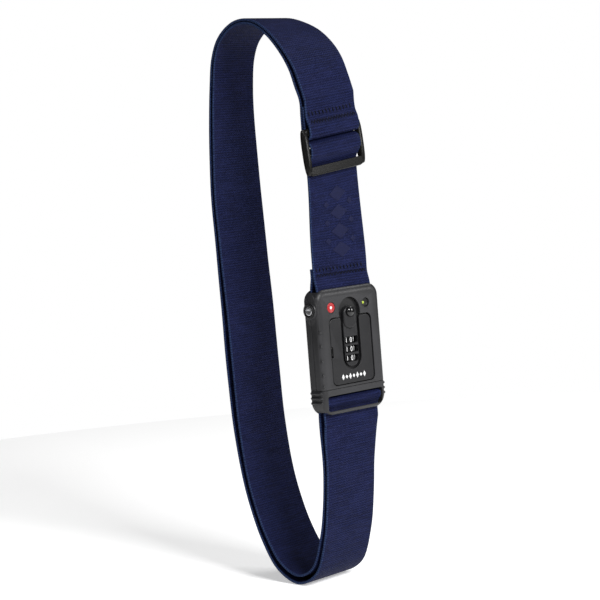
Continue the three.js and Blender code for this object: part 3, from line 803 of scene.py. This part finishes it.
def key_boss():
    """The swollen ring on the left wall that holds the master key's plug."""
    profile = [(-24, 5.8), (-29.1, 5.8), (-29.6, 5.68), (-29.9, 5.4), (KEY_END, 5)]
    boss = turned("tool", profile, 0, (LOCK_Y, KEY_Z), HOUSING, 72)
    return [boss, ball((-28.4, LOCK_Y, KEY_Z), (1.3, 6.3, 11.5))]


def make_front_shell():
    front = housing_body("lock_front")
    pips = [ball((-27.6, -56.3, z), (1.0, 1.0, 1.25)) for z in PIPS]
    boolean(front, key_boss() + pips, "UNION")
    panel_hole = rounded(PANEL["width"] + 1.3, PANEL["top"] + 0.85, PANEL["bottom"] - 0.5, PANEL["radius"])
    boolean(front, lock_hollows() + track_tools() + [
        slab(y0=LOCK_Y - SPLIT), slab(z1=SEAM + SPLIT),
        sheet_tool(panel_hole, FACE - 2, CAVITY_FRONT + 0.5),
        rod(1, 3.4 + GAP, FACE - 1, FACE + 0.75, BADGE, 64),
        rod(1, 2.85 + GAP, FACE - 1, CAVITY_FRONT + 0.5, INDICATOR, 64),
    ])
    posts = [rod(1, POST["r"], CAVITY_FRONT - 0.5, CAVITY_REAR - GAP, spot, 32) for spot in SCREWS]
    boolean(front, posts, "UNION")
    boolean(front, [rod(1, POST["pilot"] + GAP, CAVITY_FRONT + 0.6, 0, spot, 24) for spot in SCREWS])
    finish(soften(front, 0.22), "root", "housing", "front_shell")


def make_back_shell():
    back = housing_body("lock_back_half")
    boolean(back, key_boss(), "UNION")
    tools = lock_hollows() + [slab(y1=LOCK_Y + SPLIT), slab(z1=SEAM + SPLIT)]
    for spot in SCREWS:
        tools.append(rod(1, POST["sink"], REAR - 1.3, 0, spot))
        tools.append(rod(1, POST["hole"], CAVITY_REAR - 1, 0, spot, 32))
    boolean(back, tools)
    finish(soften(back, 0.22), "root", "housing", "back_shell")


def make_screws():
    """Four cross-slotted screws, from behind into the front shell's posts."""
    head, shank = POST["head"], POST["pilot"]
    profile = [(-53.4, shank)] + measured(REAR, (
        (-1, shank), (-1, head), (-0.35, head), (-0.2, head - 0.15), (-0.15, head - 0.5),
    ))
    for i, (x, z) in enumerate(SCREWS):
        screw = turned(f"back_screw_{i + 1}", profile, 1, (x, z), STEEL, 48)
        slots = [box(x - w, x + w, REAR - 0.7, 0, z - h, z + h) for w, h in ((1.3, 0.25), (0.25, 1.3))]
        boolean(screw, slots)
        finish(soften(screw, 0.06, 2), "root", "steel", f"housing_screw_{i + 1}")


WINDOW = {"width": 12, "half": 2.4, "corner": 0.8}
BED_FRONT = CAVITY_FRONT + GAP
BED_REAR = BED_FRONT + 0.9
RESET = {"x": -18.3, "width": 1.5, "top": -220.6, "bottom": -225.8}
MARKS = {"count": 7, "step": 3.3, "z": -241.6, "half_width": 1.25, "half_heights": (2.1, 1.3)}


def make_panel():
    ring = closing(PANEL["width"], PANEL["top"], PANEL["bottom"], PANEL["radius"], steps=14)
    panel = plate("lock_face", ring, PANEL_Y, PANEL_Y + 2 - GAP, PANEL_SKIN, (0.5, 0.4))
    reset_gap = box(-25, -17.3, FACE - 1, LOCK_Y, RESET["bottom"] - 1.8, RESET["top"] + 0.4)
    boolean(panel, track_tools() + [reset_gap])
    finish(soften(panel, 0.18), "root", "face", "face_panel")


def track_openings():
    """Tools that cut the three dial windows and the slot that the slider's stem runs in."""
    tools = []
    for i in (-1, 0, 1):
        z = DIAL["middle"] + i * DIAL["pitch"]
        outline = rounded(WINDOW["width"], z + WINDOW["half"], z - WINDOW["half"], WINDOW["corner"])
        tools.append(sheet_tool(outline, FACE - 1, BED_REAR + 1))
    tools.append(sheet_tool(rounded(6.4, -195, -207, 1), FACE, BED_REAR + 1))
    return tools


def make_track():
    bed = plate("track_floor", lambda inset: rounded(42.6, -188.2, -247.6, 3), BED_FRONT, BED_REAR, BED)
    indicator_gap = box(10.4, 23, FACE, BED_REAR + 1, -196.6, -190.2)
    boolean(bed, track_openings() + [indicator_gap])
    finish(soften(bed, 0.12, 2), "root", "bed_black", "track_bed")

    wide = TRACK["island"]
    ring = closing(wide, TRACK["island_top"], TRACK["bottom"] + 2, 1, wide / 2 - 0.4, 16)
    island = plate("dial_window_frame", ring, PANEL_Y, BED_FRONT - 0.05, PANEL_SKIN, (0.6, 0.5))
    cradle = rounded(
        KNOB["width"] + 2 * GAP, KNOB["top"] + 5, KNOB["bottom"] - GAP, 1, KNOB["width"] / 2 + 0.3, 20)
    boolean(island, track_openings() + [sheet_tool(cradle, FACE - 2, CAVITY_FRONT + 1)])
    finish(soften(island, 0.15), "root", "face")


def make_badge():
    """A plain red disc with a white dot, let into the front shell."""
    disc = measured(FACE, (
        (0.6, 3.4), (0.2, 3.4), (0.08, 3.28), (0.05, 3.1), (0.05, 2.75), (0.16, 2.6), (0.16, 0.01),
    ))
    finish(turned("red_disc", disc, 1, BADGE, RED), "root", "badge_red", "colour_badge")
    dot = measured(FACE, ((0.15, 1.0), (0.1, 0.9), (0.1, 0.01)))
    finish(turned("red_disc_dot", dot, 1, BADGE, WHITE, 48), "root", "print_white")


def make_indicator():
    """A shallow cup with a small green lens at its left, in front of the indicator flag."""
    floor = CAVITY_FRONT - 0.2
    profile = measured(floor, (
        (0, 2.85), (-0.9, 2.85), (-1, 2.75), (-1, 2.45), (-0.5, 1.9), (-0.45, 0.01),
    ))
    cup = turned("indicator_well", profile, 1, INDICATOR, BED)
    boolean(cup, [rod(1, 1.0, FACE - 1, LOCK_Y, LENS, 40)])
    finish(soften(cup, 0.06, 2), "root", "bed_black", "indicator_cup")
    profile = measured(floor, ((-0.1, 0.95), (-0.55, 0.95), (-0.8, 0.75), (-0.9, 0.4), (-0.92, 0.01)))
    finish(turned("indicator_lens", profile, 1, LENS, GREEN, 40), "root", "signal_green")


def make_panel_print():
    """A row of plain lozenges, large and small in turn, printed on the panel."""
    marks = []
    z, wide = MARKS["z"], MARKS["half_width"]
    for i in range(MARKS["count"]):
        x = MARKS["step"] * (i - (MARKS["count"] - 1) / 2)
        tall = MARKS["half_heights"][i % 2]
        outline = [(x + wide, z), (x, z + tall), (x - wide, z), (x, z - tall)]
        marks.append(plate("mark", lambda inset: outline, PANEL_Y - 0.04, PANEL_Y + 0.1, WHITE))
    finish(joined("panel_print", marks), "root", "print_white")


def make_reset():
    outline = rounded(RESET["width"], RESET["top"], RESET["bottom"], 0.5, None, 6, RESET["x"])
    lever = plate("reset_tongue", lambda inset: outline, PANEL_Y, PANEL_Y + 1.4, GLOSS)
    finish(soften(lever, 0.25), "reset", "gloss_black", "reset_lever")


def make_slider():
    front = FACE - 0.6
    ring = closing(KNOB["width"], KNOB["top"], KNOB["bottom"], KNOB["width"] / 2 - 0.4, steps=20)
    knob = plate("release_thumb", ring, front, CAVITY_FRONT + 0.02, PANEL_SKIN, (1.1, 0.9), rounds=8)
    stem = box(-2.4, 2.4, CAVITY_FRONT - 1, -53.95, -206.5, -201.5)
    boolean(knob, [stem], "UNION")
    boolean(knob, [rod(1, 4.2, front - 1, front + 0.45, (0, RECESS["z"]), 80)])
    finish(soften(knob, 0.2), "slider", "face", "slider_knob")
    base, steps = front - GAP, 15
    profile = [(front + 0.4, KNOB["dome"]), (base, KNOB["dome"])]
    for i in range(1, steps):
        angle = pi / 2 * i / steps
        profile.append((base - KNOB["rise"] * sin(angle), KNOB["dome"] * cos(angle)))
    dome = turned("release_dome", profile, 1, (0, RECESS["z"]), GLOSS, 72)
    finish(dome, "slider", "gloss_black", "slider_dome")


# ---------------- dials
NUMBERS = 10
SPACING = 360 / NUMBERS  # degrees from one number to the next
FLAT = 13  # degrees from the middle of a number's flat to where its groove starts
GROOVE = 0.55
POINTS_PER_NUMBER = 12
DIGIT = {"size": 4.7, "relief": 0.05, "width": 0.86}


def dial_radius(angle):
    """Distance from the axle at an angle from the middle of a number, in degrees."""
    if abs(angle) <= FLAT:
        return DIAL["r"] * cos(radians(FLAT)) / cos(radians(angle))
    return DIAL["r"] - GROOVE * sin(pi / 2 * (abs(angle) - FLAT) / (SPACING / 2 - FLAT))


def dial_ring(z, shrink):
    points = []
    for i in range(NUMBERS * POINTS_PER_NUMBER):
        number, step = divmod(i, POINTS_PER_NUMBER)
        offset = SPACING * (step / POINTS_PER_NUMBER - 0.5)
        r, turn = dial_radius(offset) - shrink, radians(SPACING * number + offset)
        points.append((r * sin(turn), DIAL_Y - r * cos(turn), z))
    return np.array(points)


def digit(number, z):
    """One raised white number, standing on its own flat of the dial."""
    curve = bpy.data.curves.new("digit", "FONT")
    curve.body = str(number)
    curve.size = DIGIT["size"] * MM
    curve.extrude = DIGIT["relief"] * MM
    curve.align_x = "CENTER"
    curve.align_y = "CENTER"
    text = placed("digit", curve)
    mesh = evaluated_mesh(text)
    bpy.data.objects.remove(text)
    heights = [vertex.co.y for vertex in mesh.vertices]
    middle = (min(heights) + max(heights)) / 2
    angle = -radians(SPACING * number)
    reach = (DIAL["r"] * cos(radians(FLAT)) + 0.01) * MM
    right = Vector((cos(angle), sin(angle), 0))
    away = Vector((sin(angle), -cos(angle), 0))
    spot = Vector((0, DIAL_Y * MM, z * MM)) + away * reach
    for vertex in mesh.vertices:
        x, y, depth = vertex.co
        vertex.co = spot + right * (x * DIGIT["width"]) + Vector((0, 0, y - middle)) + away * depth
    mesh.materials.clear()
    mesh.materials.append(WHITE)
    return placed("digit", mesh)


def make_dials():
    half, through = DIAL["width"] / 2 + 0.45, 9
    edge = ((half, 0.3), (half - 0.12, 0.1), (half - 0.3, 0))
    levels = [(-rise, shrink) for rise, shrink in edge] + list(edge[::-1])
    for i, body in enumerate(("first_dial", "second_dial", "third_dial")):
        z = DIAL["middle"] + (1 - i) * DIAL["pitch"]
        rings = [dial_ring(z + rise, shrink) for rise, shrink in levels]
        wheel = loft(f"number_wheel_{i + 1}", rings, GLOSS)
        keyway = box(-0.8, 0.8, DIAL_Y, DIAL_Y + 4.3, z - through, z + through)
        boolean(wheel, [rod(2, DIAL["bore"], z - through, z + through, (0, DIAL_Y), 64), keyway])
        finish(soften(wheel, 0.06, 2, 25), body, "gloss_black", f"dial_{i + 1}")
        digits = joined(f"wheel_numbers_{i + 1}", [digit(number, z) for number in range(NUMBERS)])
        finish(digits, body, "print_white")


def circle(centre, u, v, sides):
    """Points round an oval with the half-axes u and v."""
    angle = [2 * pi * k / sides for k in range(sides)]
    return np.array([centre + u * cos(a) + v * sin(a) for a in angle])


def make_springs():
    """Two coils between the housing and the slider's carriage."""
    low, top, reach, wire, turns = -199.0, -192.4, 1.1, 0.22, 3
    steps, sides = 120, 10
    up = np.array((0, 0, 1))
    for name, x in (("left", -4.2), ("right", 4.2)):
        centre = np.array((x, -52.6, low))
        rings = []
        for i in range(steps + 1):
            share = i / steps
            turn = 2 * pi * turns * share
            out = np.array((cos(turn), sin(turn), 0))
            spot = centre + out * reach + up * (top - low) * share
            rings.append(circle(spot, out * wire, up * wire, sides))
        coil = loft(f"release_spring_{name}", rings, STEEL)
        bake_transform(coil)
        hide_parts(f"return_spring_{name}")


# ---------------- key, plug and tri-glide
def make_key():
    profile = measured(KEY_END, (
        (-GAP, 4.9), (-0.75, 4.9), (-0.98, 4.75), (-1.1, 4.4), (-1.1, 3.9), (-0.9, 3.6),
    ))
    bezel = turned("key_ring", profile, 0, (LOCK_Y, KEY_Z), BED, 72)
    boolean(bezel, [rod(0, BORE, -40, -20, (LOCK_Y, KEY_Z), 72)])
    finish(soften(bezel, 0.08, 2), "root", "bed_black", "key_bezel")
    profile = measured(KEY_END, ((8.8, 3.1), (-0.55, 3.1), (-0.75, 2.9), (-0.8, 2.6), (-0.8, 0.01)))
    plug = turned("key_barrel", profile, 0, (LOCK_Y, KEY_Z), CHROME, 72)
    key_slot = box(KEY_END - 5, KEY_END + 1, LOCK_Y - 1.9, LOCK_Y + 1.9, KEY_Z - 0.35, KEY_Z + 0.35)
    boolean(plug, [key_slot])
    finish(soften(plug, 0.1, 2), "key", "steel", "key_plug")


GRIP = {"count": 3, "top": -250.4, "pitch": 3.4, "x": 29.1}
WINDOW_TOP = -252.8
WINDOW_LOW = -263.4


def make_plug():
    cap = housing_body("plug_housing")
    end = ((5.6, 0.4), (5.3, 0.8), (4.6, 1.1), (3.6, 1.25))
    profile = measured(LOCK_Y, [(-along, r) for along, r in end] + list(end[::-1]))
    ribs = []
    for i in range(GRIP["count"]):
        z = GRIP["top"] - GRIP["pitch"] * i
        ribs += [turned("tool", profile, 1, (x, z), HOUSING, 32) for x in (-GRIP["x"], GRIP["x"])]
    boolean(cap, ribs, "UNION")
    boolean(cap, [
        slab(z0=SEAM - SPLIT), box(-MOUTH, MOUTH, LOCK_Y - 4.9, LOCK_Y + 4.9, -275, WINDOW_TOP),
        sheet_tool(rounded(50.6, WINDOW_TOP, WINDOW_LOW, 1.5, 2.5), FACE - 2, LOCK_Y),
        box(-20.9, 20.9, LOCK_Y - 1.6, LOCK_Y + 1.6, -253.5, SEAM + 1),
        rod(0, 2.2 + GAP, -27.5, 27.5, (LOCK_Y, LOW_PIN_Z)),
    ])
    finish(soften(cap, 0.25), "plug", "housing", "plug_cap")


CHEEK = {"depth": 2.45, "round": 0.9, "steps": 12, "sides": 72}


def powered(wave, power):
    """A sine or cosine raised to a power with its sign kept, which squares a round outline."""
    return np.sign(wave) * np.abs(wave) ** power


def cheek(inner, outer, middle):
    """One of the tri-glide's side rails: deepest at its middle height, with all its edges rounded."""
    rings = []
    steps, sides = CHEEK["steps"], CHEEK["sides"]
    angle = np.arange(sides) * 2 * pi / sides
    for i in range(steps + 1):
        share = i / steps
        x = inner + (outer - inner) * share
        inset = CHEEK["round"] * (1 - (1 - abs(2 * share - 1) ** 3.2) ** 0.5)
        y = (CHEEK["depth"] - inset) * powered(np.cos(angle), 0.85)
        z = (ADJ_HEIGHT / 2 - inset) * powered(np.sin(angle), 0.75)
        rings.append(np.stack([np.full(sides, x), BAR_Y + y, middle + z], 1))
    return loft("tool", rings, BUCKLE)


def make_triglide():
    width = WIDTH + 2 * (ADJ_PLAY + ADJ_RAIL)
    slot = (ADJ_HEIGHT - sum(ADJ_BARS)) / 2
    half, middle = ADJ_THICK / 2, ADJ_TOP - ADJ_HEIGHT / 2
    ring = closing(width, ADJ_TOP, ADJ_TOP - ADJ_HEIGHT - 0.9, 5, 6.5, 16)
    edge = (1.3, 1.3)
    buckle = plate("adjuster_buckle", ring, BAR_Y - half, BAR_Y + half, BUCKLE, edge, edge, 8)
    first = ADJ_TOP - ADJ_BARS[0]
    second = first - slot - ADJ_BARS[1]
    tools = [
        sheet_tool(rounded(width - 2 * ADJ_RAIL, top, bottom, 1, None, 8), BAR_Y - 4, BAR_Y + 4)
        for top, bottom in ((first, first - slot), (second, second - slot + 0.7))
    ]
    boolean(buckle, tools)
    outer, inner = width / 2 - 0.5, width / 2 - ADJ_RAIL - 1.2
    boolean(buckle, [cheek(inner, outer, middle), cheek(-outer, -inner, middle)], "UNION")
    soften(buckle, 0.5, 4, 40)
    centre = Matrix.Translation(Vector((0, BAR_Y, middle)) * MM)
    turn = Matrix.Rotation(-atan(SKEW), 4, "Y") @ Matrix.Rotation(radians(TURN["adjuster"]), 4, "Z")
    applied(buckle).data.transform(centre @ turn @ centre.inverted())
    finish(buckle, "adjuster", "buckle", "triglide")


# ---------------- sewing
SEWN_REACH = 22.4
BAR_LEAN = 0.35


def face_point(path, x, height, lift):
    """A point on the front of webbing that follows a path, raised by lift, at a height on it."""
    crossings = (i for i in range(len(path) - 1) if (path[i][1] - height) * (path[i + 1][1] - height) <= 0)
    first = next(crossings)
    a, b = np.array(path[first]), np.array(path[first + 1])
    share = (height - a[1]) / (b[1] - a[1] or 1)
    y, z = a + (b - a) * share
    way = (b - a) / np.linalg.norm(b - a)
    normal = np.array([-abs(way[1]), way[0] * (1 if way[1] > 0 else -1)])
    y, z = np.array([y, z]) + normal * (THICK / 2 + lift)
    return np.array([x, y + x * lean(y, z), z + x * skew(y, z)])


def stitch(path, start, end, r=0.3):
    """One stitch between two (x, height) spots, dipping into the webbing at both ends."""
    rings = []
    steps, sides = 7, 8
    for i in range(steps + 1):
        share = i / steps
        x = start[0] + (end[0] - start[0]) * share
        height = start[1] + (end[1] - start[1]) * share
        centre = face_point(path, x, height, -0.32 + 0.5 * sin(pi * share))
        along = Vector((end[0] - start[0], 0, end[1] - start[1])).normalized()
        side = along.cross(Vector((0, 1, 0)))
        size = r * (0.75 + 0.25 * sin(pi * share))
        rings.append(circle(centre, np.array(side) * size, np.array((0, 1, 0)) * size, sides))
    return loft("stitch", rings, THREAD)


def zigzag(name, path, height, pitch, tall, body):
    count = int(2 * SEWN_REACH / pitch)
    low, high = height - tall / 2, height + tall / 2
    stitches = []
    for i in range(count):
        x = -SEWN_REACH + pitch * i
        stitches.append(stitch(path, (x, low), (x + pitch * 0.5, high)))
        stitches.append(stitch(path, (x + pitch * 0.5, high), (x + pitch, low)))
    finish(joined(name, stitches), body, "thread")


def bars(name, path, height, pitch, tall, body):
    """A row of upright stitches, each leaning a little."""
    count = int(2 * SEWN_REACH / pitch) + 1
    low, high = height - tall / 2, height + tall / 2
    spots = [-SEWN_REACH + pitch * i for i in range(count)]
    stitches = [stitch(path, (x - BAR_LEAN, high), (x + BAR_LEAN, low), 0.5) for x in spots]
    finish(joined(name, stitches), body, "thread")


def make_sewing():
    bars("sewing_top_bars", SEWN_FRONT, -61.6, 3.5, 3.4, "adjuster")
    zigzag("sewing_top_zigzag", SEWN_FRONT, -67.4, 2.8, 2.8, "adjuster")
    bars("sewing_low_bars", TAB_FRONT, -167.8, 3.2, 2.6, "root")
    zigzag("sewing_low_zigzag", TAB_FRONT, -171.6, 2.8, 2.4, "root")


def lozenge(x, z, wide, tall):
    """A low raised lozenge on the front of the tab."""
    path = [(TAB_Y, TAB_JOIN - 3), (TAB_Y, BUMP_LOW + 4)]
    rings = []
    corners, steps = 4, 8
    for scale, lift in ((1, -0.2), (1, 0.12), (0.93, 0.24), (0.8, 0.3), (0.45, 0.3), (0.02, 0.3)):
        ring = []
        for i in range(corners * steps):
            corner, share = divmod(i / steps, 1)
            a, b = [(pi / 2) * (corner + k) for k in (0, 1)]
            u = cos(a) + (cos(b) - cos(a)) * share
            v = sin(a) + (sin(b) - sin(a)) * share
            ring.append(face_point(path, x + wide / 2 * u * scale, z + tall / 2 * v * scale, lift))
        rings.append(np.array(ring))
    return loft("lozenge", rings, RELIEF)


def make_relief():
    """A woven-in row of lozenges, tone on tone, up the middle of the tab."""
    shapes = []
    count, step, top, x = 4, 12.6, -118, 2
    for i in range(count):
        z = top - step * i
        shapes.append(lozenge(x, z, 17, 10.6))
        if i < count - 1:
            shapes += [lozenge(x + side, z - step / 2, 5.4, 4.6) for side in (-11.5, 11.5)]
    relief = joined("tab_relief", shapes)
    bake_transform(relief)


def paint_inner_works():
    """Materials for the small inner pieces that are kept as the part has them."""
    looks = {
        STEEL: ("top_pin", "plug_pin", "prong_plate", "dial_axle", "slider_carriage", "latch_pawl_left",
                "latch_pawl_right"),
        BRASS: ("dial_sleeve_1", "dial_sleeve_2", "dial_sleeve_3", "key_cam"),
        BED: ("axle_block_top", "axle_block_low", "detent_spring"),
        GREEN: ("indicator_flag",),
    }
    for material, names in looks.items():
        for name in names:
            for place in bpy.data.objects[name].material_slots:
                place.material = material


make_front_shell()
make_back_shell()
make_screws()
make_panel()
make_track()
make_badge()
make_indicator()
make_panel_print()
make_reset()
make_slider()
make_springs()
make_dials()
make_key()
make_plug()
make_triglide()
make_sewing()
make_relief()
paint_inner_works()


# ---------------- stage
# Each light's name, place in metres, width in metres and power in watts.
LIGHTS = (
    ("key", (-0.35, -1.75, 0.85), 0.6, 48), ("side", (-1.7, -0.5, 0.6), 0.9, 5),
    ("top", (1.05, -0.2, 1.15), 0.6, 8), ("glance", (0.40, -0.52, -0.06), 0.14, 1.3),
)
LIGHTS_AIM = (0, 0, -0.2)
WORLD_LIGHT = 0.12  # how strongly the white world lights the part; the camera sees it fully white
FLOOR = {"reach": 900, "below": 0.4, "sides": 96, "glow": 0.42}


def make_stage():
    scene = bpy.context.scene
    scene.view_settings.view_transform = "Standard"
    world = bpy.data.worlds.new("studio")
    world.use_nodes = True
    tree = world.node_tree
    sky = tree.nodes["Background"]
    seen = tree.nodes.new("ShaderNodeLightPath")
    shade = tree.nodes.new("ShaderNodeMapRange")
    shade.inputs["To Min"].default_value = WORLD_LIGHT
    tree.links.new(seen.outputs["Is Camera Ray"], shade.inputs[0])
    tree.links.new(shade.outputs[0], sky.inputs["Strength"])
    sky.inputs["Color"].default_value = (1, 1, 1, 1)
    scene.world = world

    reach, sides = FLOOR["reach"], FLOOR["sides"]
    angle = np.arange(sides) * 2 * pi / sides
    level = np.full(sides, CAD_BOX[0][2] / MM - FLOOR["below"])
    ring = np.stack([reach * np.cos(angle), reach * np.sin(angle), level], 1)
    pale = Nodes("floor_paper")
    pale.paint(pale.mix(pale.noise(6), (0.93, 0.93, 0.93, 1), (0.95, 0.95, 0.95, 1)))
    pale.plain(Roughness=0.9, Specular_IOR_Level=0.0)
    pale.plain(Emission_Strength=FLOOR["glow"], Emission_Color=(1, 1, 1, 1))
    make("floor", ring, [tuple(range(sides))], pale.material, False)

    for name, place, size, power in LIGHTS:
        data = bpy.data.lights.new(name, "AREA")
        data.size = size
        data.energy = power
        lamp = placed(name, data)
        lamp.location = place
        aim = Vector(LIGHTS_AIM) - lamp.location
        lamp.rotation_euler = aim.to_track_quat("-Z", "Y").to_euler()


make_stage()
